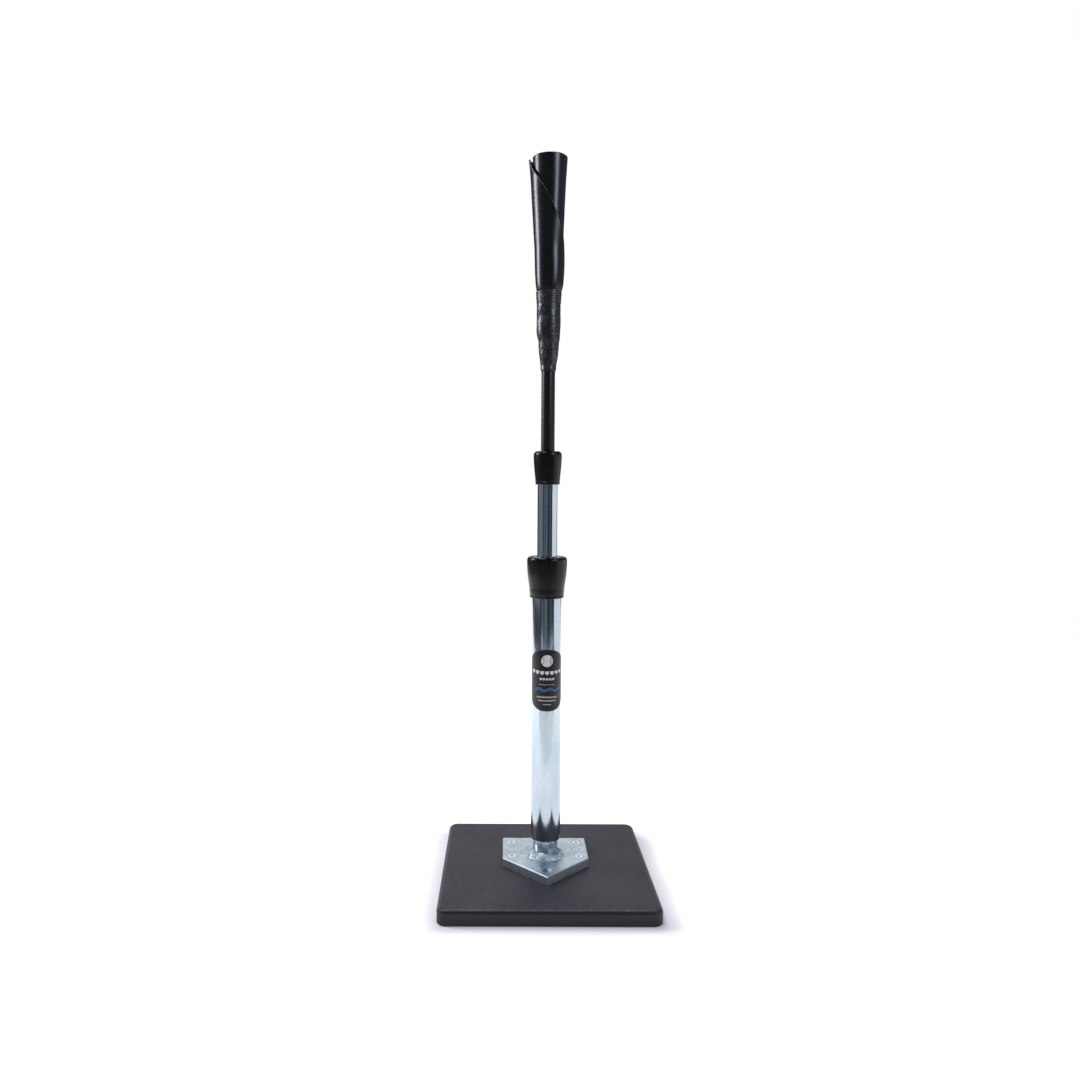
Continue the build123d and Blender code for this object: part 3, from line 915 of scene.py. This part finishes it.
# The floor's glow is painted darker close to the slab: a painted contact shadow. Its coordinates start at its
# middle, floor_y behind the tee.
floor_y = 0.8
floor_paint = glowing("floor_paint", (1, 1, 1, 1), body=tone(238, 238, 239))
beside = (abs(floor_paint.axis("X")) - slab_half).most(0.0)
before = (abs(floor_paint.axis("Y") + floor_y) - slab_half).most(0.0)
away = (beside * beside + before * before) ** 0.5
painted_contact_shadow = floor_paint.mix(away.rise(-0.006, 0.036), (0.16, 0.15, 0.19, 1), (0.62, 0.61, 0.61, 1))
floor_paint.feed("Emission Color", floor_paint.mix(away.rise(0.03, 1.0), painted_contact_shadow, (0.96, 0.96, 0.96, 1)))
board("pale_floor", 3.4, 3.7, (0, floor_y, -0.0005), None, floor_paint, mirrored_only=False)

right_card = glowing("right_card", (1.02, 1.03, 1.08, 1))
board("right_wall", 2.9, 0.64, (1.72, 0.3, 0.32), (0, 0.3, 0.32), right_card)
dim_card = glowing("dim_card", (0.20, 0.21, 0.27, 1))
board("right_high_wall", 2.9, 1.5, (1.72, 0.3, 1.39), (0, 0.3, 1.39), dim_card)
left_card = glowing("left_card", (0.19, 0.20, 0.22, 1))
board("left_wall", 2.7, 2.2, (-1.9, 0.1, 1.1), (0, 0.1, 1.1), left_card)
back_card = glowing("back_card", (0.85, 0.88, 0.92, 1))
board("back_wall", 1.8, 1.9, (0, 2.3, 1.0), (0, 0, 0.9), back_card)
front_card = glowing("front_card", (1, 1, 1, 1))
stripes = front_card.cloud(0.34, detail=4.0, where=front_card.stretched(1.0, 0.12, 1.0)).rise(0.44, 0.57)
front_card.feed("Emission Color", front_card.mix(stripes, (0.008, 0.012, 0.014, 1), (0.12, 0.16, 0.18, 1)))
board("front_wall", 4.8, 2.5, (-0.1, -1.74, 1.25), (-0.1, 0, 1.25), front_card)
dark_card = glowing("dark_card", (0.03, 0.03, 0.04, 1))
board("left_low_wall", 1.9, 0.2, (-1.45, -0.25, 0.1), (0, 0, 0.1), dark_card)
dim_floor = glowing("front_floor_card", (1, 1, 1, 1))
fading = dim_floor.axis("Y").rise(0.06, -0.47)
dim_floor.feed("Emission Color", dim_floor.mix(fading, (0.09, 0.12, 0.15, 1), (0.80, 0.84, 0.90, 1)))
board("front_floor", 3.4, 0.98, (0, -1.23, 0.004), None, dim_floor)
warm_floor = glowing("near_floor_card", (1, 1, 1, 1))
centre_strip = abs(warm_floor.axis("X") + 0.02).rise(0.10, 0.02) * warm_floor.axis("Y").rise(0.12, -0.1)
warm_floor.feed("Emission Color", warm_floor.mix(centre_strip, (1.00, 1.04, 1.03, 1), (0.97, 0.94, 0.86, 1)))
board("near_floor", 3.4, 0.44, (0, -0.59, 0.006), None, warm_floor)

softbox("left_softbox", 0.45, 0.7, (-1.55, 0.3, 1.1), (0, 0, 0.75), 17, (0.90, 0.92, 1.0))
softbox("right_softbox", 0.6, 0.6, (1.22, -1.18, 1.25), (0, 0, 0.75), 10, (0.74, 0.83, 1.0))
softbox("back_softbox", 1.2, 0.8, (0, 1.3, 1.8), (0, 0, 0), 12, (1.0, 1.0, 1.0))
softbox("top_softbox", 0.45, 0.45, (-0.65, -0.5, 2.1), (0, 0, 0.4), 11, (0.98, 0.98, 1.0))


class Backdrop(Finish):
    """The studio's surroundings: a Background shader, and the nodes that feed it."""

    def __init__(self, name):
        self.world = bpy.data.worlds.new(name)
        self.world.use_nodes = True
        self.tree = self.world.node_tree
        self.shader = self.tree.nodes["Background"]


backdrop = Backdrop("studio_backdrop")
in_view = backdrop.node("ShaderNodeLightPath", output="Is Camera Ray")
backdrop.feed("Color", backdrop.mix(in_view, (0.03, 0.03, 0.033, 1), (1, 1, 1, 1)))
bpy.context.scene.world = backdrop.world
bpy.context.scene.view_settings.view_transform = "Standard"

lens = bpy.data.cameras.new("camera")
lens.lens = 28.76
lens.sensor_width = 36
lens.shift_x = 0.0278
lens.shift_y = -0.0435
camera = bpy.data.objects.new("camera", lens)
camera.location = (-0.0503, -1.0262, 0.4599)
camera.rotation_euler = (math.radians(89.785), math.radians(-0.355), math.radians(-0.315))
bpy.context.scene.collection.objects.link(camera)
bpy.context.scene.camera = camera
